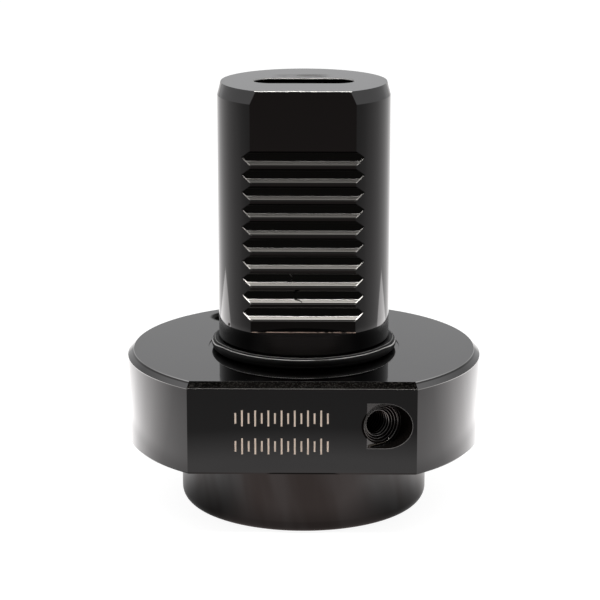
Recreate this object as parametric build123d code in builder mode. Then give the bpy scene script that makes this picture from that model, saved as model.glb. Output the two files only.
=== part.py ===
from build123d import *
import os
from math import cos, radians, sin, tan

# Toolholder for a No. 3 Morse taper tool, with a 40 mm serrated shank for a lathe turret.
# The axis is +Z. The origin is the centre of the nose's end face, where the taper socket
# opens; the flange's seating face and the shank are above it, the milled flats face -Y.

# Turned body, in order from the nose's end face up to the end of the shank
nose_diameter = 58.0
nose_length = 15.5
nose_edge_radius = 3.0
flange_diameter = 83.0
flange_thickness = 21.5
flange_top_chamfer = 1.4
flange_lower_chamfer = 0.5
shank_diameter = 40.0
shank_length = 63.0
shank_lead_length = 3.0
shank_lead_angle = 15.0
shank_root_undersize = 0.02

# Milled flats, as distances from the axis
flange_flat_distance = 32.5
shank_flat_distance = 16.0
shank_flat_foot = 7.25
shank_flat_edge_break = 0.25

# Clamping teeth: V grooves across the shank's flat, evenly placed about one tooth crest
tooth_pitch = 4.0
tooth_depth = 1.7
tooth_angle = 90.0
groove_count = 10
tooth_datum = 29.7

# Seal ring at the shank's root, in a relief turned into the shank and the seating face
seal_section = 2.65
seal_sides = 16
seal_clearance = 0.05
relief_depth = 1.0
relief_spare_width = 0.35
relief_face_margin = 0.8
relief_face_depth = 0.2

# Taper socket, with its relief bore and the slot that drives the tool's tang
taper_mouth_diameter = 23.825
taper_per_length = 1 / 19.922
taper_mouth_chamfer = 0.6
taper_relief_diameter = 20.2
socket_roof = 16.0
tang_slot_length = 23.2
tang_slot_width = 8.0
tang_slot_overlap = 2.0
tang_slot_edge_break = 0.2

# Coolant inlet in the seating face, and the tapped port in the flange's flat
inlet_diameter = 9.0
inlet_edge_break = 0.5
inlet_circle_radius = 32.0
inlet_angle = 34.0
inlet_depth = 14.0
drill_point_angle = 118.0
port_angle = 30.0
port_below_seat = 10.0
port_floor_distance = 35.4
port_pocket_radius = 5.2
port_sink_diameter = 9.2
port_sink_angle = 90.0
port_thread_diameter = 6.0
port_thread_length = 12.0
passage_diameter = 5.0

# Heights and radii that follow from the values above
seat_height = nose_length + flange_thickness
shank_top = seat_height + shank_length
shank_radius = shank_diameter / 2
root_radius = shank_radius - shank_root_undersize
lead_depth = shank_lead_length * tan(radians(shank_lead_angle))
relief_radius = shank_radius - relief_depth
relief_floor = seat_height - relief_face_depth
relief_top = seat_height + seal_section + relief_spare_width
seal_circle_radius = relief_radius + seal_clearance + seal_section / 2
seal_height = relief_floor + seal_clearance + seal_section / 2
flat_foot = seat_height + shank_flat_foot
socket_depth = shank_top - socket_roof
overrun = 1.0

# Turned and milled body, one piece of steel
with BuildPart() as body:
    # Flange: a disc with one flat, its upper and lower rims chamfered all the way round
    with BuildSketch(Plane.XY.offset(nose_length)):
        Circle(flange_diameter / 2)
        with Locations((0, -flange_flat_distance)):
            Rectangle(
                flange_diameter,
                flange_diameter,
                align=(Align.CENTER, Align.MAX),
                mode=Mode.SUBTRACT,
            )
    extrude(amount=flange_thickness)
    chamfer(body.faces().sort_by(Axis.Z)[-1].edges(), flange_top_chamfer)
    chamfer(body.faces().sort_by(Axis.Z)[0].edges(), flange_lower_chamfer)

    # Nose: a plain spigot with a rounded lower edge
    with BuildSketch():
        Circle(nose_diameter / 2)
    extrude(amount=nose_length)
    fillet(body.faces().sort_by(Axis.Z)[0].edges(), nose_edge_radius)

    # Shallow recess in the seating face, which keeps the seal clear of the seated faces
    with BuildSketch(Plane.XY.offset(seat_height)):
        Circle(seal_circle_radius + seal_section / 2 + relief_face_margin)
    extrude(amount=-relief_face_depth, mode=Mode.SUBTRACT)

    # Shank: the seal's relief, the root, which is left a little under the ground diameter,
    # the ground length and the lead-in, revolved as one outline from the flats' side
    with BuildSketch(Plane(origin=(0, 0, 0), x_dir=(0, -1, 0), z_dir=(-1, 0, 0))):
        with BuildLine():
            Polyline(
                (0, relief_floor),
                (relief_radius, relief_floor),
                (relief_radius, relief_top),
                (root_radius, relief_top),
                (root_radius, flat_foot),
                (shank_radius, flat_foot),
                (shank_radius, shank_top - shank_lead_length),
                (shank_radius - lead_depth, shank_top),
                (0, shank_top),
                close=True,
            )
        make_face()
    revolve(axis=Axis.Z)

    # Flat along the shank, from its end down to a step above the seat
    with BuildSketch(Plane.XY.offset(flat_foot)):
        with Locations((0, -shank_flat_distance)):
            Rectangle(shank_diameter, shank_diameter, align=(Align.CENTER, Align.MAX))
    extrude(amount=shank_length, mode=Mode.SUBTRACT)
    flat_top_edge = body.faces().sort_by(Axis.Z)[-1].edges().sort_by(Axis.Y)[0]
    chamfer(flat_top_edge, shank_flat_edge_break)

    # Teeth: V grooves milled straight across the flat
    groove_half_width = (tooth_depth + overrun) * tan(radians(tooth_angle / 2))
    with BuildSketch(Plane.YZ):
        with Locations((tooth_depth - shank_flat_distance, seat_height + tooth_datum)):
            with GridLocations(0, tooth_pitch, 1, groove_count):
                Polygon(
                    (0, 0),
                    (-tooth_depth - overrun, groove_half_width),
                    (-tooth_depth - overrun, -groove_half_width),
                    align=None,
                )
    extrude(amount=shank_radius, both=True, mode=Mode.SUBTRACT)

    # Taper socket: the ground taper up to where it has narrowed to the relief bore
    taper_length = (taper_mouth_diameter - taper_relief_diameter) / taper_per_length
    with BuildSketch(Plane.XZ):
        with BuildLine():
            Polyline(
                (0, 0),
                (taper_mouth_diameter / 2 + taper_mouth_chamfer, 0),
                (
                    (taper_mouth_diameter - taper_mouth_chamfer * taper_per_length) / 2,
                    taper_mouth_chamfer,
                ),
                (taper_relief_diameter / 2, taper_length),
                (taper_relief_diameter / 2, socket_depth),
                (0, socket_depth),
                close=True,
            )
        make_face()
    revolve(axis=Axis.Z, mode=Mode.SUBTRACT)

    # Tang slot: milled down through the shank's end face into the socket
    with BuildSketch(Plane.XY.offset(shank_top)):
        SlotOverall(tang_slot_length, tang_slot_width)
    extrude(amount=-socket_roof - tang_slot_overlap, mode=Mode.SUBTRACT)
    slot_rim = body.faces().sort_by(Axis.Z)[-1].inner_wires()[0].edges()
    chamfer(slot_rim, tang_slot_edge_break)

    # Coolant inlet: a blind hole in the seating face that ends in the drill's point
    inlet_direction = radians(90 + inlet_angle)
    inlet_mouth = Plane(
        origin=(
            inlet_circle_radius * cos(inlet_direction),
            inlet_circle_radius * sin(inlet_direction),
            seat_height,
        )
    )
    point_height = inlet_diameter / 2 / tan(radians(drill_point_angle / 2))
    with Locations(inlet_mouth):
        CounterSinkHole(
            inlet_diameter / 2,
            inlet_diameter / 2 + inlet_edge_break,
            depth=inlet_depth,
            counter_sink_angle=90,
        )
    with Locations(inlet_mouth.offset(-inlet_depth)):
        Cone(
            0,
            inlet_diameter / 2,
            point_height,
            align=(Align.CENTER, Align.CENTER, Align.MAX),
            mode=Mode.SUBTRACT,
        )

    # Port: a pocket milled square to a slanting axis, so that its floor runs out at the
    # flat on one side, with a countersunk tapped hole in the middle of the floor
    port_axis = Vector(sin(radians(port_angle)), -cos(radians(port_angle)), 0)
    port_floor = Plane(
        origin=port_axis * port_floor_distance + Vector(0, 0, seat_height - port_below_seat),
        x_dir=(cos(radians(port_angle)), sin(radians(port_angle)), 0),
        z_dir=port_axis,
    )
    with BuildSketch(port_floor):
        Circle(port_pocket_radius)
        Rectangle(
            flange_diameter / 2,
            2 * port_pocket_radius,
            align=(Align.MAX, Align.CENTER),
        )
    extrude(amount=flange_diameter / 2 - port_floor_distance + overrun, mode=Mode.SUBTRACT)
    with Locations(port_floor):
        CounterSinkHole(
            port_thread_diameter / 2,
            port_sink_diameter / 2,
            depth=port_thread_length,
            counter_sink_angle=port_sink_angle,
        )

    # Passage: drilled on from the port, across the socket and into the side of the inlet
    with Locations(port_floor):
        Hole(passage_diameter / 2, depth=port_floor_distance + inlet_circle_radius)

# Seal ring: a round section of many short sides, lying in the relief on the seating face
with BuildPart() as seal_ring:
    with BuildSketch(Plane.XZ):
        with Locations((seal_circle_radius, seal_height)):
            RegularPolygon(seal_section / 2, seal_sides, major_radius=True)
    revolve(axis=Axis.Z)

body.part.label = "body"
seal_ring.part.label = "seal_ring"

os.makedirs("parts", exist_ok=True)
export_step(body.part, "parts/body.step")
export_step(seal_ring.part, "parts/seal_ring.step")
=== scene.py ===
from math import cos, hypot, pi, radians, sin

import bmesh
import bpy
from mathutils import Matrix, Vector


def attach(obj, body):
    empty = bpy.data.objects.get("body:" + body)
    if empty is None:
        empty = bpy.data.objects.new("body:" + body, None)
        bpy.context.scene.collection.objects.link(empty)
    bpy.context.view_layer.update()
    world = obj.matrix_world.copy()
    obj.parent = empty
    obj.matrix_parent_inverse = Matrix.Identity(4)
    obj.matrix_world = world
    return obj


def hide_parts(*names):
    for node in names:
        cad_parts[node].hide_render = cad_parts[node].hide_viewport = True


# Toolholder with a taper socket and a serrated shank, for a lathe turret. It stands on the
# end face of its nose. Everything is in metres, with +Z up the holder's axis and the two
# milled flats towards -Y, where the camera is.
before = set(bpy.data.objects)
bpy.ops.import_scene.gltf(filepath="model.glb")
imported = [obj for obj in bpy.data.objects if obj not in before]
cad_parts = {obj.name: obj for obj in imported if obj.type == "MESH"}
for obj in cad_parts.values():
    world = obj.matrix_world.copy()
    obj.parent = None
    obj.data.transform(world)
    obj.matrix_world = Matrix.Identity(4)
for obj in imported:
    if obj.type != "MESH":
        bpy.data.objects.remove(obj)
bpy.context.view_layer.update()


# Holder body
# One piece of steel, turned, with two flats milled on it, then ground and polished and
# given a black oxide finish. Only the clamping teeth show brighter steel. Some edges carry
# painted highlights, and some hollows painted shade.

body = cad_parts["body"]
nose_length = 0.0155
seat_height = 0.037
flat_foot = 0.04425
shank_top = 0.1
shank_radius = 0.020
flange_radius = 0.0415
flange_chamfer = 0.0014
shank_flat = -0.016
flange_flat = -0.0325


def new_material(name):
    """A material with an emptied node tree, and that tree."""
    material = bpy.data.materials.new(name)
    material.use_nodes = True
    tree = material.node_tree
    tree.nodes.clear()
    return material, tree


def feed(tree, socket, value):
    """Set a socket to a number or a colour, or link another node's output to it."""
    if isinstance(value, tuple):
        socket.default_value = (*value, 1.0)
    elif isinstance(value, (int, float)):
        socket.default_value = value
    else:
        tree.links.new(value, socket)


def step(tree, operation, *inputs):
    """One math node: each input is a number or another node's output."""
    node = tree.nodes.new("ShaderNodeMath")
    node.operation = operation
    for socket, value in zip(node.inputs, inputs):
        feed(tree, socket, value)
    return node.outputs[0]


def every(tree, *masks):
    """The masks multiplied: 1 only where each of them is 1."""
    result = masks[0]
    for mask in masks[1:]:
        result = step(tree, "MULTIPLY", result, mask)
    return result


def any_of(tree, *masks):
    """The greatest of the masks."""
    result = masks[0]
    for mask in masks[1:]:
        result = step(tree, "MAXIMUM", result, mask)
    return result


def ramp(tree, value, start, end, low=0.0, high=1.0, smooth=True):
    """Value turned into low at start and high at end, and held beyond both."""
    node = tree.nodes.new("ShaderNodeMapRange")
    node.interpolation_type = "SMOOTHSTEP" if smooth else "LINEAR"
    tree.links.new(value, node.inputs["Value"])
    for name, amount in zip(("From Min", "From Max", "To Min", "To Max"), (start, end, low, high)):
        feed(tree, node.inputs[name], amount)
    return node.outputs["Result"]


def between(tree, value, start, end, soft):
    """1 from start to end, fading to 0 over the soft distance inside each."""
    rise = ramp(tree, value, start, start + soft)
    fall = ramp(tree, value, end - soft, end, 1.0, 0.0)
    return step(tree, "MULTIPLY", rise, fall)


def blend_colours(tree, share, first, second):
    """First where share is 0 and second where it is 1."""
    node = tree.nodes.new("ShaderNodeMix")
    node.data_type = "RGBA"
    tree.links.new(share, node.inputs["Factor"])
    for name, value in zip(("A", "B"), (first, second)):
        feed(tree, [s for s in node.inputs if s.name == name and s.type == "RGBA"][0], value)
    return [s for s in node.outputs if s.type == "RGBA"][0]


def noise(tree, vector, scale, detail=3.0, roughness=0.5):
    """Soft noise between 0 and 1 at this many cells a metre."""
    node = tree.nodes.new("ShaderNodeTexNoise")
    tree.links.new(vector, node.inputs["Vector"])
    feed(tree, node.inputs["Scale"], scale)
    node.inputs["Detail"].default_value = detail
    node.inputs["Roughness"].default_value = roughness
    return node.outputs["Fac"]


def distance(tree, first, second):
    """Length of the two values taken as the sides of a right angle."""
    squares = step(tree, "MULTIPLY_ADD", first, first, step(tree, "MULTIPLY", second, second))
    return step(tree, "SQRT", squares)


def place_in_metres(tree):
    """The point on the piece as one vector, then its x, y, z and distance from the axis."""
    place = tree.nodes.new("ShaderNodeTexCoord").outputs["Object"]
    parts = tree.nodes.new("ShaderNodeSeparateXYZ")
    tree.links.new(place, parts.inputs[0])
    x, y, z = parts.outputs
    return place, x, y, z, distance(tree, x, y)


def vector_of(tree, x, y, z):
    """Three values joined into one vector."""
    node = tree.nodes.new("ShaderNodeCombineXYZ")
    for socket, value in zip(node.inputs, (x, y, z)):
        tree.links.new(value, socket)
    return node.outputs[0]


def bumped(tree, height, strength, depth):
    """A surface normal tilted by this height."""
    node = tree.nodes.new("ShaderNodeBump")
    node.inputs["Strength"].default_value = strength
    node.inputs["Distance"].default_value = depth
    tree.links.new(height, node.inputs["Height"])
    return node.outputs["Normal"]


def along(tree, first, second, direction, start):
    """How far the point of these two values lies from the start in this direction."""
    by_first = step(tree, "MULTIPLY", step(tree, "SUBTRACT", first, start[0]), direction[0])
    by_second = step(tree, "MULTIPLY", step(tree, "SUBTRACT", second, start[1]), direction[1])
    return step(tree, "ADD", by_first, by_second)


def near_line(tree, first, second, start, end, width):
    """1 along the straight line between two points of the plane of first and second."""
    run = (end[0] - start[0], end[1] - start[1])
    length = hypot(*run)
    direction = (run[0] / length, run[1] / length)
    reach = step(tree, "MAXIMUM", along(tree, first, second, direction, start), 0.0)
    reach = step(tree, "MINIMUM", reach, length)
    offs = []
    for value, share, origin in zip((first, second), direction, start):
        nearest = step(tree, "MULTIPLY_ADD", reach, share, origin)
        offs.append(step(tree, "SUBTRACT", value, nearest))
    return ramp(tree, distance(tree, *offs), width / 2, width / 4)


def show(tree, surface, kind="ShaderNodeOutputMaterial"):
    """Link this shader to the tree's output."""
    tree.links.new(surface, tree.nodes.new(kind).inputs["Surface"])


def coated(tree, colour, roughness, normal):
    """The material's shader with this colour, roughness and normal, linked to the output."""
    shader = tree.nodes.new("ShaderNodeBsdfPrincipled")
    tree.links.new(colour, shader.inputs["Base Color"])
    tree.links.new(roughness, shader.inputs["Roughness"])
    tree.links.new(normal, shader.inputs["Normal"])
    show(tree, shader.outputs[0])
    return shader


# every finish here is uneven: patches of two tones, which differ in roughness, and a fine grain
uneven_finish = bpy.data.node_groups.new("uneven_finish", "ShaderNodeTree")
for name, kind in (
    ("Place", "Vector"),
    ("Patch Scale", "Float"),
    ("Grain Scale", "Float"),
    ("First Colour", "Color"),
    ("Second Colour", "Color"),
    ("Smoothest", "Float"),
    ("Roughest", "Float"),
):
    uneven_finish.interface.new_socket(name=name, in_out="INPUT", socket_type="NodeSocket" + kind)
for name, kind in (("Colour", "Color"), ("Roughness", "Float"), ("Grain", "Float")):
    uneven_finish.interface.new_socket(name=name, in_out="OUTPUT", socket_type="NodeSocket" + kind)
given = uneven_finish.nodes.new("NodeGroupInput").outputs
put_out = uneven_finish.nodes.new("NodeGroupOutput").inputs
patches = noise(uneven_finish, given["Place"], given["Patch Scale"])
toned = blend_colours(uneven_finish, patches, given["First Colour"], given["Second Colour"])
dulled = ramp(uneven_finish, patches, 0.3, 0.7, given["Smoothest"], given["Roughest"])
grained = noise(uneven_finish, given["Place"], given["Grain Scale"])
for name, value in (("Colour", toned), ("Roughness", dulled), ("Grain", grained)):
    uneven_finish.links.new(value, put_out[name])


def finished(tree, place, **values):
    """The uneven finish placed in a material, as its colour, roughness and grain."""
    node = tree.nodes.new("ShaderNodeGroup")
    node.node_tree = uneven_finish
    feed(tree, node.inputs["Place"], place)
    for name, value in values.items():
        feed(tree, node.inputs[name.replace("_", " ").title()], value)
    return node.outputs["Colour"], node.outputs["Roughness"], node.outputs["Grain"]


black_steel, tree = new_material("black_oxide_steel")
place, x, y, z, radius = place_in_metres(tree)

# a hundredth of a millimetre, the softness of most lines between two finishes
hair = 0.00001
hairline = 0.4 * hair

# the flanks of the teeth lie behind the shank's flat and inside its round
flank_reach = 0.0024
teeth_foot = 0.0464
teeth_head = 0.0867
tooth_flank = every(
    tree,
    between(tree, y, shank_flat + hair, shank_flat + flank_reach, 5 * hair),
    ramp(tree, radius, shank_radius - 4 * hair, shank_radius - 10 * hair),
    between(tree, z, teeth_foot, teeth_head, 10 * hair),
)
facing = tree.nodes.new("ShaderNodeSeparateXYZ")
tree.links.new(tree.nodes.new("ShaderNodeNewGeometry").outputs["Normal"], facing.inputs[0])
upper_flank = every(tree, tooth_flank, ramp(tree, facing.outputs["Z"], 0.2, 0.4))


def up_the_teeth(tree, z, at_lowest, at_highest):
    """A width that changes evenly from the lowest tooth to the highest."""
    return ramp(tree, z, 0.047, 0.086, at_lowest, at_highest, smooth=False)


# each crest is painted very dark, with a painted highlight line above it; a band of each upper
# flank, where the clamping wedge has rubbed, is not as smooth, and has a painted highlight on its
# upper edge
into_flat = step(tree, "SUBTRACT", y, shank_flat)
past_crest = step(tree, "SUBTRACT", into_flat, up_the_teeth(tree, z, 0.00029, 0.00019))
past_start = step(tree, "SUBTRACT", into_flat, up_the_teeth(tree, z, 0.00068, 0.00050))
short_of_end = step(tree, "SUBTRACT", up_the_teeth(tree, z, 0.00097, 0.00104), into_flat)
dark_crest_line = every(tree, upper_flank, ramp(tree, past_crest, 3 * hair, -3 * hair))
crest_highlight = every(tree, upper_flank, between(tree, past_crest, -2 * hair, 18 * hair, 3 * hair))
rubbed_flank_and_sheen = every(
    tree,
    upper_flank,
    ramp(tree, past_start, -hair, hair),
    ramp(tree, short_of_end, -hair, hair),
)
band_edge_highlight = every(tree, rubbed_flank_and_sheen, ramp(tree, short_of_end, 18 * hair, 14 * hair))
# painted highlight along the ends of each upper flank, where it meets the shank's round
flank_end_glint = every(
    tree,
    upper_flank,
    ramp(tree, radius, shank_radius - 28 * hair, shank_radius - 22 * hair, 0.0, 0.8),
)
band_edge_highlight = any_of(tree, band_edge_highlight, flank_end_glint)
rubbed_flank_and_sheen = any_of(tree, rubbed_flank_and_sheen, flank_end_glint)

# the chamfer where the flange's flat meets its seating face was filed by hand, and is dull
chamfer_foot = seat_height - flange_chamfer
off_chamfer = step(tree, "SUBTRACT", step(tree, "SUBTRACT", z, y), chamfer_foot - flange_flat)
filed_chamfer = every(
    tree,
    ramp(tree, step(tree, "ABSOLUTE", off_chamfer), 2 * hair, hair),
    between(tree, y, flange_flat + hairline / 2, flange_flat + flange_chamfer + 10 * hair, hairline),
    between(tree, z, chamfer_foot - 2 * hair, seat_height - hairline, hairline),
)

# the root of the shank, below the foot of its flat, was not ground
relief_radius = 0.019
unground_root = every(
    tree,
    ramp(tree, z, flat_foot - hair, flat_foot - 3 * hair),
    between(tree, radius, relief_radius - 30 * hair, shank_radius + 4 * hair, 2 * hair),
)
# painted shade: the ledge at the foot of the shank's flat is near black and matt
foot_ledge_shade = every(
    tree,
    between(tree, z, flat_foot - hair, flat_foot + hair, hairline),
    ramp(tree, y, shank_flat - hair, shank_flat - 3 * hair),
)

# the port: a milled pocket with a floor square to a slanting axis, and a hole in it; the hole and
# the pocket's wall are painted dark as shade
port_turn = radians(30)
port_axis = (sin(port_turn), -cos(port_turn))
port_across = (cos(port_turn), sin(port_turn))
port_floor_distance = 0.0354
port_centre = (port_floor_distance * port_axis[0], port_floor_distance * port_axis[1])
port_height = 0.027
port_depth = 0.014
sink_radius = 0.0046
pocket_radius = 0.0052
rim_start = -0.0037


def seen_from_port(tree, x, y, z):
    """How far a point lies out of the port's floor, across from its axis and above it."""
    outward = along(tree, x, y, port_axis, port_centre)
    across = along(tree, x, y, port_across, port_centre)
    return outward, across, step(tree, "SUBTRACT", z, port_height)


outward, across, above = seen_from_port(tree, x, y, z)
from_port = distance(tree, across, above)
from_pocket = distance(tree, step(tree, "MAXIMUM", across, 0.0), above)
behind_flat = ramp(tree, y, flange_flat + hair, flange_flat + 3 * hair)
in_port = every(
    tree,
    between(tree, outward, -port_depth, -2 * hair, hair),
    ramp(tree, from_port, sink_radius + 20 * hair, sink_radius + 10 * hair),
)
port_floor = every(
    tree,
    between(tree, outward, -4 * hair, 4 * hair, hair),
    ramp(tree, from_pocket, pocket_radius + 10 * hair, pocket_radius),
    behind_flat,
)
pocket_wall = every(
    tree,
    ramp(tree, outward, 3 * hair, 6 * hair),
    ramp(tree, from_pocket, pocket_radius + 10 * hair, pocket_radius + 5 * hair),
    behind_flat,
)
# painted highlight: a thin bright line round the pocket's rim on the flat
pocket_rim_highlight = every(
    tree,
    between(tree, from_pocket, pocket_radius - 5 * hair, pocket_radius + 13 * hair, 3 * hair),
    ramp(tree, y, flange_flat + 2 * hair, flange_flat + hair),
    ramp(tree, across, rim_start, rim_start + 10 * hair),
)
shaded_port_hollow = any_of(tree, in_port, pocket_wall)

# painted highlights: thin bright lines along edges that catch the light
slot_half_width = 0.004
shank_end_highlight = every(
    tree,
    ramp(tree, y, shank_flat + 26 * hair, shank_flat + 22 * hair),
    ramp(tree, z, shank_top - 13 * hair, shank_top - 11 * hair),
)
slot_highlight = every(
    tree,
    between(tree, z, shank_top - 34 * hair, shank_top - hair, hair),
    ramp(tree, step(tree, "ABSOLUTE", y), slot_half_width + 30 * hair, slot_half_width + 20 * hair),
)
flat_chamfer_highlight = every(
    tree,
    ramp(tree, y, flange_flat + 13 * hair, flange_flat + 9 * hair),
    between(tree, z, chamfer_foot - 5 * hair, chamfer_foot + 10 * hair, 2 * hair),
)

# the flange's round chamfer: a painted highlight along each of its edges, and a line of painted
# shade beside the upper
chamfer_rim = flange_radius - flange_chamfer
chamfer_upper_highlight = every(
    tree,
    between(tree, radius, chamfer_rim - 3 * hair, chamfer_rim + 15 * hair, 3 * hair),
    ramp(tree, z, seat_height - 40 * hair, seat_height - 30 * hair),
)
shaded_line = every(
    tree,
    between(tree, radius, chamfer_rim + 15 * hair, chamfer_rim + 45 * hair, 3 * hair),
    ramp(tree, z, seat_height - 70 * hair, seat_height - 60 * hair),
)
chamfer_lower_highlight = every(
    tree,
    between(tree, z, chamfer_foot - 15 * hair, chamfer_foot + 2 * hair, 3 * hair),
    ramp(tree, radius, flange_radius - 20 * hair, flange_radius - 10 * hair),
)

# the low wall round the seal's recess, as it was turned
recess_radius = 0.0225
recess_wall = every(
    tree,
    between(tree, radius, recess_radius - 10 * hair, recess_radius + 10 * hair, 2 * hair),
    ramp(tree, z, seat_height - hair, seat_height - 3 * hair),
)

# painted shade round the coolant inlet, and a patchy band of painted shade on the shank's end behind
# the tang slot
inlet_centre = (-0.017894, 0.026529)
inlet_foot = 0.0200
off_inlet = distance(
    tree,
    step(tree, "SUBTRACT", x, inlet_centre[0]),
    step(tree, "SUBTRACT", y, inlet_centre[1]),
)
inlet_shade = every(
    tree,
    ramp(tree, off_inlet, 0.0060, 0.0049),
    between(tree, z, inlet_foot, seat_height + 10 * hair, 5 * hair),
)
slot_shade = every(
    tree,
    ramp(tree, z, shank_top - 6 * hair, shank_top - 2 * hair),
    between(tree, y, 0.0040, 0.0115, 0.0030),
    between(tree, x, -0.0085, 0.0075, 0.0040),
    ramp(tree, noise(tree, place, 150.0), 0.30, 0.65, 0.4, 1.0),
)

# a bright scratch and a dark one across the teeth, and a spot of rust low on the shank
bright_scratch = every(
    tree,
    any_of(
        tree,
        near_line(tree, x, z, (-0.00298, 0.05785), (-0.00285, 0.05755), 0.00028),
        near_line(tree, x, z, (-0.00285, 0.05755), (-0.00258, 0.05712), 0.00028),
    ),
    tooth_flank,
)
dark_scratch = every(
    tree,
    any_of(
        tree,
        near_line(tree, x, z, (-0.00202, 0.05225), (-0.00172, 0.05188), 0.00036),
        near_line(tree, x, z, (-0.00172, 0.05188), (-0.00095, 0.05172), 0.00036),
        near_line(tree, x, z, (-0.00095, 0.05172), (-0.00031, 0.05140), 0.00030),
    ),
    tooth_flank,
)
rust_spot = every(
    tree,
    near_line(tree, x, z, (-0.01722, 0.04455), (-0.01714, 0.04480), 0.0006),
    ramp(tree, y, 0.0, -0.001),
)

# a bright copper coloured line, broken up by noise, where the shank's flat ends at its foot
copper_foot_line = every(
    tree,
    between(tree, z, flat_foot - 3 * hair, flat_foot + 19 * hair, 3 * hair),
    between(tree, y, shank_flat - 10 * hair, shank_flat + 10 * hair, 3 * hair),
    ramp(tree, noise(tree, place, 700.0, 1.0), 0.35, 0.6, 0.25, 1.0),
)

# two rows of plain marks etched on the flange's flat, tall and short in turn
mark_pitch = 0.00148
mark_width = 0.00040
mark_start = -0.0157
mark_end = 0.0070
mark_rows = (0.02875, 0.02220)
mark_half_heights = (0.00125, 0.00188)
half_stroke = mark_width / mark_pitch / 2
stroke_softness = 0.03
count = step(tree, "DIVIDE", step(tree, "SUBTRACT", x, mark_start), mark_pitch)
off_middle = step(tree, "ABSOLUTE", step(tree, "SUBTRACT", step(tree, "FRACT", count), 0.5))
stroke = ramp(tree, off_middle, half_stroke + stroke_softness, half_stroke - stroke_softness)
is_tall = step(tree, "GREATER_THAN", step(tree, "FRACT", step(tree, "MULTIPLY", count, 0.5)), 0.5)
half_height = ramp(tree, is_tall, 0.0, 1.0, *mark_half_heights)
off_rows = [step(tree, "ABSOLUTE", step(tree, "SUBTRACT", z, row)) for row in mark_rows]
off_row = step(tree, "MINIMUM", *off_rows)
in_row = ramp(tree, step(tree, "SUBTRACT", off_row, half_height), 5 * hair, -5 * hair)
etched_mark = every(
    tree,
    stroke,
    in_row,
    between(tree, x, mark_start, mark_end, hair),
    ramp(tree, y, flange_flat + 4 * hair, flange_flat + 2 * hair),
)

# the black oxide itself, with slanting wipe marks on the nose
colour, polish, _ = finished(
    tree,
    place,
    patch_scale=60.0,
    grain_scale=900.0,
    first_colour=(0.096, 0.094, 0.094),
    second_colour=(0.106, 0.104, 0.104),
    smoothest=0.035,
    roughest=0.055,
)
streak_place = vector_of(tree, x, y, step(tree, "MULTIPLY_ADD", z, 0.35, x))
on_nose = ramp(tree, z, nose_length, nose_length - 0.001)
wipe_marks = every(tree, noise(tree, streak_place, 110.0, 2.0), on_nose)
specks = noise(tree, place, 2800.0, 2.0, 0.7)

# finishes that change over their own length: painted shade darkens the root towards its sides,
# the filed chamfer is speckled, and painted light makes the rubbed steel brighter on the lower teeth
round_to_side = ramp(tree, step(tree, "ABSOLUTE", x), 0.005, 0.013)
root_oxide_and_shade = blend_colours(tree, round_to_side, (0.085, 0.080, 0.078), (0.010, 0.010, 0.010))
speckled = ramp(tree, specks, 0.46, 0.74)
dull_oxide = blend_colours(tree, speckled, (0.0008, 0.0008, 0.0007), (0.030, 0.028, 0.026))
# painted light: the rubbed band and its highlight are brighter on the lower teeth
up_the_shank = ramp(tree, z, 0.047, 0.066)
painted_light_rubbed_steel = blend_colours(tree, up_the_shank, (0.25, 0.243, 0.235), (0.047, 0.046, 0.044))
band_highlight_colour = blend_colours(tree, up_the_shank, (0.80, 0.785, 0.765), (0.17, 0.166, 0.162))

# each finish covers those before it
for finish, tone in (
    (ramp(tree, wipe_marks, 0.40, 0.68), (0.074, 0.068, 0.066)),
    (any_of(tree, chamfer_upper_highlight, chamfer_lower_highlight), (0.32, 0.315, 0.31)),
    (shaded_line, (0.042, 0.041, 0.040)),
    (inlet_shade, (0.012, 0.011, 0.010)),
    (slot_shade, (0.060, 0.057, 0.055)),
    (unground_root, root_oxide_and_shade),
    (foot_ledge_shade, (0.008, 0.007, 0.007)),
    (filed_chamfer, dull_oxide),
    (tooth_flank, (0.228, 0.221, 0.211)),
    (crest_highlight, (0.32, 0.312, 0.302)),
    (rubbed_flank_and_sheen, painted_light_rubbed_steel),
    (band_edge_highlight, band_highlight_colour),
    (shaded_port_hollow, (0.014, 0.012, 0.011)),
    (port_floor, (0.30, 0.29, 0.285)),
    (dark_crest_line, (0.004, 0.004, 0.004)),
    (pocket_rim_highlight, (0.50, 0.49, 0.48)),
    (flat_chamfer_highlight, (0.19, 0.185, 0.18)),
    (shank_end_highlight, (0.86, 0.85, 0.83)),
    (slot_highlight, (0.42, 0.415, 0.41)),
    (bright_scratch, (0.62, 0.61, 0.60)),
    (dark_scratch, (0.02, 0.019, 0.018)),
    (rust_spot, (0.030, 0.020, 0.015)),
    (copper_foot_line, (0.60, 0.47, 0.40)),
    (etched_mark, (0.95, 0.78, 0.66)),
):
    colour = blend_colours(tree, finish, colour, tone)

# how much rougher each finish is than the oxide
not_metal = any_of(tree, etched_mark, copper_foot_line, foot_ledge_shade, inlet_shade, step(tree, "MULTIPLY", slot_shade, 0.6))
for finish, dulling in (
    (filed_chamfer, 0.45),
    (any_of(tree, bright_scratch, dark_scratch, rust_spot), 0.40),
    (any_of(tree, flat_chamfer_highlight, pocket_rim_highlight, port_floor, unground_root, recess_wall), 0.22),
    (any_of(tree, shank_end_highlight, slot_highlight), 0.42),
    (rubbed_flank_and_sheen, 0.36),
    (shaded_port_hollow, 0.8),
    (not_metal, 0.5),
):
    polish = step(tree, "MULTIPLY_ADD", finish, dulling, polish)

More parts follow.
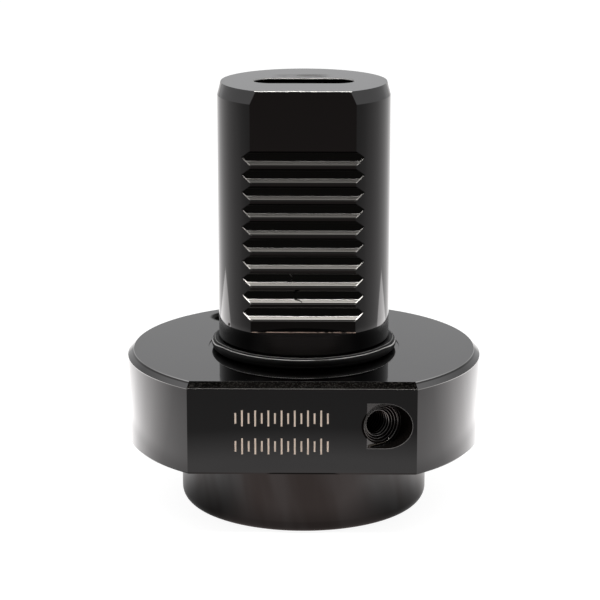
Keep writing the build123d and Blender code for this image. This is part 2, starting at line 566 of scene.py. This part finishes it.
# the lay of the tools: rings round the axis, and straight lines along the milled flats
lay_stretch = 0.02
milled = any_of(
    tree,
    ramp(tree, y, flange_flat + 10 * hair, flange_flat + 5 * hair),
    every(
        tree,
        between(tree, y, shank_flat - 10 * hair, shank_flat + flank_reach, 5 * hair),
        between(tree, z, flat_foot + 5 * hair, shank_top - 20 * hair, 10 * hair),
    ),
)
turned = step(tree, "SUBTRACT", 1.0, milled)
lay_vector = vector_of(
    tree,
    step(tree, "MULTIPLY", x, lay_stretch),
    step(tree, "MULTIPLY_ADD", radius, turned, z),
    step(tree, "MULTIPLY", y, lay_stretch),
)
tool_lay = noise(tree, lay_vector, 5000.0, 2.0)
file_marks = step(tree, "MULTIPLY", filed_chamfer, step(tree, "MULTIPLY", specks, 4.0))
relief = bumped(tree, step(tree, "ADD", tool_lay, file_marks), 0.4, 0.000001)

shader = coated(tree, colour, polish, relief)
tree.links.new(step(tree, "SUBTRACT", 1.0, not_metal), shader.inputs["Metallic"])
shader.inputs["Specular IOR Level"].default_value = 0.1

body.data.materials.clear()
body.data.materials.append(black_steel)


# Thread and rings of the port
# The tap and the countersink left raised turns on the wall of the hole and on the cone at
# its mouth. The outermost turn runs out over the pocket's floor as a short straight ridge,
# milled flush with the flat.

cone_turns = 3.4
cone_start_radius = 0.00458
cone_pitch = 0.00050
cone_depth_pitch = 0.00044
bore_turns = 7.0
bore_pitch = 0.001
bore_ridge_radius = 0.00290
bore_ridge_thickness = 0.00022
steps_per_turn = 48
tail_start = (-0.0034, -0.00478)
tail_rise = 0.00020
tail_lift = 0.00008
tail_steps = 8
ridge_thickness = 0.00034
thinning_per_turn = 0.0012
thinnest = 0.00009
first_depth = 0.00002
ridge_sides = 12
flush_with_flat = flange_flat + hair


def port_point(across, above, depth):
    """A point from its place across and above the port's axis and its depth below the floor."""
    return Vector(
        (
            port_centre[0] + port_across[0] * across - port_axis[0] * depth,
            port_centre[1] + port_across[1] * across - port_axis[1] * depth,
            port_height + above,
        )
    )


def turn_point(reach, turn, depth):
    """A point this far from the port's axis, so many turns on from straight below it."""
    angle = 2 * pi * turn - pi / 2
    return port_point(reach * cos(angle), reach * sin(angle), depth)


def skin(shape, loops, ends=True):
    """Smooth faces between each loop of points and the next, all facing out, and flat ends."""
    for here, there in zip(loops, loops[1:]):
        for i in range(len(here)):
            j = (i + 1) % len(here)
            shape.faces.new((here[i], there[i], there[j], here[j])).smooth = True
    if ends:
        shape.faces.new(loops[0])
        shape.faces.new(loops[-1])
    bmesh.ops.recalc_face_normals(shape, faces=shape.faces)


def new_piece(name, shape):
    """An object of this name in the scene, made of the shape."""
    mesh = bpy.data.meshes.new(name)
    shape.to_mesh(mesh)
    shape.free()
    piece = bpy.data.objects.new(name, mesh)
    bpy.context.scene.collection.objects.link(piece)
    return piece


# the ridge's middle line: straight over the pocket's floor, then down the cone, then down the
# bore, each point with the ridge's thickness there
path = []
for i in range(tail_steps):
    share = i / tail_steps
    left = 1 - share
    point = port_point(tail_start[0] * left, tail_start[1] + tail_rise * share, -tail_lift * left)
    path.append((point, ridge_thickness))
for i in range(int(cone_turns * steps_per_turn)):
    turn = i / steps_per_turn
    reach = cone_start_radius - cone_pitch * turn
    thickening = bore_ridge_thickness * (turn / cone_turns) ** 3
    thickness = max(ridge_thickness - thinning_per_turn * turn, thinnest, thickening)
    path.append((turn_point(reach, turn, first_depth + cone_depth_pitch * turn), thickness))
for i in range(int(bore_turns * steps_per_turn)):
    turn = i / steps_per_turn
    depth = first_depth + cone_depth_pitch * cone_turns + bore_pitch * turn
    path.append((turn_point(bore_ridge_radius, turn + cone_turns, depth), bore_ridge_thickness))

shape = bmesh.new()
slope = Vector((*port_axis, 0.0))
loops = []
for i, (centre, thickness) in enumerate(path):
    before = path[max(i - 1, 0)][0]
    after = path[min(i + 1, len(path) - 1)][0]
    ahead = (after - before).normalized()
    side = ahead.cross(slope).normalized()
    up = side.cross(ahead)
    loop = []
    for j in range(ridge_sides):
        angle = 2 * pi * j / ridge_sides
        point = centre + thickness * (cos(angle) * side + sin(angle) * up)
        point.y = max(point.y, flush_with_flat)
        loop.append(shape.verts.new(point))
    loops.append(loop)
skin(shape, loops)
port_thread = new_piece("port_thread", shape)

# bright steel, with painted shade down the hole, and darker where the ridge runs out
turned_steel, tree = new_material("turned_steel")
place, x, y, z, _ = place_in_metres(tree)
outward, across, above = seen_from_port(tree, x, y, z)
lit_colour, polish, grain = finished(
    tree,
    place,
    patch_scale=900.0,
    grain_scale=6000.0,
    first_colour=(0.36, 0.345, 0.335),
    second_colour=(0.48, 0.465, 0.45),
    smoothest=0.14,
    roughest=0.22,
)
on_tail = every(
    tree,
    ramp(tree, above, -0.0036, -0.0042),
    ramp(tree, across, 0.0028, 0.0016),
    ramp(tree, y, flush_with_flat + hair, flush_with_flat + 4 * hair, 0.55, 1.0),
)
deep_shade_or_tail = any_of(tree, ramp(tree, outward, -0.0015, -0.0040), on_tail)
colour = blend_colours(tree, deep_shade_or_tail, lit_colour, (0.03, 0.026, 0.022))
shader = coated(tree, colour, polish, bumped(tree, grain, 0.1, 0.00001))
shader.inputs["Metallic"].default_value = 1.0
port_thread.data.materials.append(turned_steel)

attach(port_thread, "root")


# Seal ring
# A moulded ring of black rubber, pushed over the shank and lying in the relief at its
# root, where it seals against the turret's face.

ring_circle_radius = 0.020375
ring_section_radius = 0.001325
ring_height = 0.038175
ring_turns = 240
ring_sides = 40

shape = bmesh.new()
loops = []
for i in range(ring_turns):
    round_axis = 2 * pi * i / ring_turns
    loop = []
    for j in range(ring_sides):
        round_section = 2 * pi * j / ring_sides
        reach = ring_circle_radius + ring_section_radius * cos(round_section)
        height = ring_height + ring_section_radius * sin(round_section)
        loop.append(shape.verts.new((reach * cos(round_axis), reach * sin(round_axis), height)))
    loops.append(loop)
skin(shape, [*loops, loops[0]], ends=False)
rubber_ring = new_piece("rubber_ring", shape)

rubber, tree = new_material("black_rubber")
place, _, y, z, radius = place_in_metres(tree)
colour, dullness, grain = finished(
    tree,
    place,
    patch_scale=350.0,
    grain_scale=1500.0,
    first_colour=(0.002, 0.002, 0.002),
    second_colour=(0.004, 0.0039, 0.0038),
    smoothest=0.42,
    roughest=0.55,
)

# two painted highlights on the ring: thin lighter lines on its shoulder and on its top, set lower
# towards its sides
off_circle = step(tree, "SUBTRACT", radius, ring_circle_radius)
off_middle = step(tree, "SUBTRACT", z, ring_height)
at_side = ramp(tree, y, -0.012, -0.004)
shoulder_height = ramp(tree, at_side, 0.0, 1.0, 0.00094, 0.00055)
shoulder_width = ramp(tree, at_side, 0.0, 1.0, 0.00006, 0.00016)
top_offset = ramp(tree, at_side, 0.0, 1.0, 0.00034, 0.00062)
off_shoulder = step(tree, "ABSOLUTE", step(tree, "SUBTRACT", off_middle, shoulder_height))
off_top = step(tree, "ABSOLUTE", step(tree, "SUBTRACT", off_circle, top_offset))
shoulder_highlight = every(
    tree,
    ramp(tree, step(tree, "SUBTRACT", shoulder_width, off_shoulder), 0.0, 0.00003),
    ramp(tree, off_circle, 0.0, 0.0001),
)
top_highlight = every(
    tree,
    ramp(tree, off_top, 0.00008, 0.00004),
    ramp(tree, off_middle, 0.0, 0.0001),
)
dim_highlight_stretch = every(
    tree,
    ramp(tree, y, -0.0185, -0.0205),
    ramp(tree, noise(tree, place, 190.0), 0.44, 0.58),
)
shoulder_highlight_colour = blend_colours(tree, dim_highlight_stretch, (0.64, 0.635, 0.63), (0.26, 0.255, 0.25))
colour = blend_colours(tree, top_highlight, colour, (0.26, 0.26, 0.257))
colour = blend_colours(tree, shoulder_highlight, colour, shoulder_highlight_colour)
shader = coated(tree, colour, dullness, bumped(tree, grain, 0.05, 0.000002))
shader.inputs["Specular IOR Level"].default_value = 0.12
rubber_ring.data.materials.append(rubber)

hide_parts("seal_ring")
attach(rubber_ring, "root")


# Floor
# A white sheet that the holder stands on. Polished steel mirrors it: a bright pool of light
# round the holder, brightest behind its sides, which falls off into shade towards the camera.

sheet_reach = 3.0


def level_piece(name, half_width, front, back, height):
    """A flat level oblong in the scene, from its front to its back."""
    shape = bmesh.new()
    corners = [(-half_width, front), (half_width, front), (half_width, back), (-half_width, back)]
    shape.faces.new([shape.verts.new((*corner, height)) for corner in corners])
    return new_piece(name, shape)


def glowing(tree, colour, strength, kind="ShaderNodeEmission"):
    """A shader that gives off this colour with this strength."""
    node = tree.nodes.new(kind)
    feed(tree, node.inputs["Color"], colour)
    feed(tree, node.inputs["Strength"], strength)
    return node.outputs[0]


def matt(tree, grey):
    """A matt shader of this grey."""
    node = tree.nodes.new("ShaderNodeBsdfDiffuse")
    feed(tree, node.inputs["Color"], (grey, grey, grey))
    return node.outputs[0]


def for_rays(tree, kind, first, second):
    """The second shader for this kind of ray, and the first for all others."""
    node = tree.nodes.new("ShaderNodeMixShader")
    tree.links.new(tree.nodes.new("ShaderNodeLightPath").outputs[kind], node.inputs["Fac"])
    tree.links.new(first, node.inputs[1])
    tree.links.new(second, node.inputs[2])
    return node.outputs[0]


def shades(tree, value, *stops):
    """A grey that follows the stops, each a value from 0 to 1 and its brightness below 4."""
    node = tree.nodes.new("ShaderNodeValToRGB")
    tree.links.new(value, node.inputs["Fac"])
    points = node.color_ramp.elements
    while len(points) < len(stops):
        points.new(0.5)
    for point, (position, brightness) in zip(points, stops):
        point.position = position
        point.color = (brightness / 4, brightness / 4, brightness / 4, 1.0)
    return step(tree, "MULTIPLY", node.outputs["Color"], 4.0)


floor = level_piece("floor", sheet_reach, -sheet_reach, sheet_reach, 0.0)

white_sheet, tree = new_material("white_sheet")
_, x, y, _, radius = place_in_metres(tree)

# where a point lies round the axis: behind is -1 towards the camera, 0 at the sides and 1 at
# the back, and direction is the same from 0 to 1
behind = step(tree, "DIVIDE", y, step(tree, "MAXIMUM", radius, 0.001))
direction = step(tree, "MULTIPLY_ADD", behind, 0.5, 0.5)

# the sheet's brightness as the steel mirrors it, in the pool of light and further off
near_light = shades(
    tree,
    direction,
    (0.0, 0.46),
    (0.22, 0.62),
    (0.42, 1.02),
    (0.50, 1.42),
    (0.585, 1.88),
    (0.70, 2.20),
    (0.80, 2.15),
    (0.91, 1.55),
    (0.975, 1.15),
)
far_light = shades(
    tree,
    direction,
    (0.0, 0.105),
    (0.25, 0.11),
    (0.38, 0.18),
    (0.49, 0.26),
    (0.61, 0.40),
    (0.71, 0.54),
    (0.80, 0.74),
    (0.925, 1.02),
    (0.96, 1.18),
)
fade_start = 0.17
full_light = 0.30
fade_power = 0.3
nearness = step(tree, "DIVIDE", full_light, step(tree, "MAXIMUM", radius, fade_start))
far_light = step(tree, "MULTIPLY", far_light, step(tree, "POWER", nearness, fade_power))
dip = every(tree, between(tree, radius, 0.160, 0.235, 0.02), ramp(tree, behind, -0.85, -0.95))
far_light = step(tree, "MULTIPLY", far_light, ramp(tree, dip, 0.0, 1.0, 1.0, 0.4))

# the pool reaches less far in front of the holder than at its sides and behind it
pool_edge = ramp(tree, behind, -0.7, -0.2, 0.079, 0.160)
pool_end = ramp(tree, behind, -0.7, -0.2, 0.118, 0.185)
in_pool = ramp(tree, radius, pool_edge, pool_end, 1.0, 0.0, smooth=False)
light = step(
    tree,
    "ADD",
    step(tree, "MULTIPLY", near_light, in_pool),
    step(tree, "MULTIPLY", far_light, step(tree, "SUBTRACT", 1.0, in_pool)),
)

# brighter towards the holder, so that the wall of the flange doesn't darken towards its foot
far_side = ramp(tree, behind, -0.95, -0.85, 0.10, -0.09)
brighter = every(
    tree,
    ramp(tree, radius, 0.098, 0.150, 0.22, far_side, smooth=False),
    between(tree, radius, 0.083, 0.172, 0.012),
)
light = step(tree, "MULTIPLY", light, step(tree, "ADD", brighter, 1.0))

# shade under the flange, deeper at the sides and behind than in front
deepest = ramp(tree, behind, -1.0, -0.6, 0.55, 0.18)
shade_end = ramp(tree, behind, -1.0, -0.6, 0.050, 0.072)
light = step(tree, "MULTIPLY", light, ramp(tree, radius, 0.031, shade_end, deepest, 1.0))

# two wedges of lamp light behind the holder, which its shank mirrors just over the flange
wedge_tip = 0.257
wedge_base = 0.172
to_tip = step(tree, "SUBTRACT", wedge_tip, radius)
wedges = []
for aside, middle, spread in ((-0.001, 0.60, 3.4), (0.001, 0.58, 2.7)):
    off_middle = step(tree, "ABSOLUTE", step(tree, "SUBTRACT", behind, middle))
    inside = step(tree, "SUBTRACT", step(tree, "MULTIPLY", to_tip, spread), off_middle)
    wedges.append(every(tree, ramp(tree, inside, 0.0, 0.04), ramp(tree, x, 0.0, aside)))
in_wedge = every(tree, any_of(tree, *wedges), ramp(tree, radius, wedge_base, wedge_base + 0.004))
light = step(tree, "MULTIPLY_ADD", in_wedge, 1.3, light)

# more light on the right, close to the nose
lit_right = every(
    tree,
    ramp(tree, x, 0.0, 0.02),
    ramp(tree, radius, 0.075, 0.060),
    ramp(tree, behind, -0.90, -0.45),
)
light = step(tree, "MULTIPLY", light, ramp(tree, lit_right, 0.0, 1.0, 1.0, 1.45))

# the camera sees the sheet near white with a faint shadow, polished steel mirrors the pool of
# light, and matt surfaces are lit by a plain grey
near_or_far = any_of(tree, ramp(tree, radius, 0.085, 0.070), ramp(tree, radius, 0.17, 0.20))
warm = every(tree, near_or_far, ramp(tree, behind, -0.5, -0.9))
tint = blend_colours(tree, warm, (1.0, 0.985, 0.985), (1.0, 0.87, 0.84))
seen = tree.nodes.new("ShaderNodeAddShader")
tree.links.new(matt(tree, 0.25), seen.inputs[0])
tree.links.new(glowing(tree, (1.0, 1.0, 1.0), 0.92), seen.inputs[1])
unseen = for_rays(tree, "Is Glossy Ray", matt(tree, 0.75), glowing(tree, tint, light))
show(tree, for_rays(tree, "Is Camera Ray", unseen, seen.outputs[0]))
floor.data.materials.append(white_sheet)


# Studio
# White walls at the back and the sides, a dark room behind the camera, and one large soft
# box overhead and in front, whose rear edge the teeth mirror.

world = bpy.data.worlds.new("studio")
bpy.context.scene.world = world
world.use_nodes = True
tree = world.node_tree
tree.nodes.clear()
parts = tree.nodes.new("ShaderNodeSeparateXYZ")
tree.links.new(tree.nodes.new("ShaderNodeTexCoord").outputs["Generated"], parts.inputs[0])
x, y, z = parts.outputs
level = distance(tree, x, y)
behind = step(tree, "DIVIDE", y, step(tree, "MAXIMUM", level, 0.001))
side_walls = ramp(tree, z, 0.30, 0.75, 0.56, 1.10)
back_wall = 0.67
back_share = ramp(tree, behind, 0.70, 0.82)
around = step(
    tree,
    "ADD",
    step(tree, "MULTIPLY", side_walls, step(tree, "SUBTRACT", 1.0, back_share)),
    step(tree, "MULTIPLY", back_share, back_wall),
)
ceiling = ramp(tree, z, 0.80, 0.95, 1.0, 0.3)
dark_room = ramp(tree, behind, -0.30, -0.75, 1.0, 0.10)
strength = every(tree, around, ceiling, dark_room)
walls = glowing(tree, (0.985, 0.99, 1.0), strength, "ShaderNodeBackground")
white = glowing(tree, (1.0, 1.0, 1.0), 1.0, "ShaderNodeBackground")
show(tree, for_rays(tree, "Is Camera Ray", walls, white), "ShaderNodeOutputWorld")

# soft box: a lit cloth, brightest at the front and fading towards its rear edge
box_half_width = 0.5
box_front = -0.200
box_rear = -0.070
box_height = 0.5
soft_box = level_piece("soft_box", box_half_width, box_front, box_rear, box_height)
soft_box.visible_camera = False
lit_cloth, tree = new_material("lit_cloth")
y = place_in_metres(tree)[2]
rear_edge = ramp(tree, y, -0.117, -0.090, 0.55, 0.30, smooth=False)
middle = ramp(tree, y, -0.150, -0.117, 3.3, 0.0, smooth=False)
front_lamp = ramp(tree, y, -0.152, -0.156, 0.0, 9.0)
strength = step(tree, "ADD", step(tree, "ADD", rear_edge, middle), front_lamp)
show(tree, glowing(tree, (1.0, 0.98, 0.95), strength))
soft_box.data.materials.append(lit_cloth)


# Camera
# A long lens, half a metre in front and a little above, looking down by 14 degrees.

lens = bpy.data.cameras.new("camera")
lens.sensor_width = 36.0
lens.lens = 137.48
lens.clip_start = 0.01
lens.clip_end = 20.0
camera = bpy.data.objects.new("camera", lens)
bpy.context.scene.collection.objects.link(camera)
camera.location = (0.00605, -0.52345, 0.17945)
aim = Vector((-0.000901, -0.000012, 0.047965))
camera.rotation_euler = (aim - camera.location).to_track_quat("-Z", "Y").to_euler()
bpy.context.scene.camera = camera
bpy.context.scene.view_settings.view_transform = "Standard"
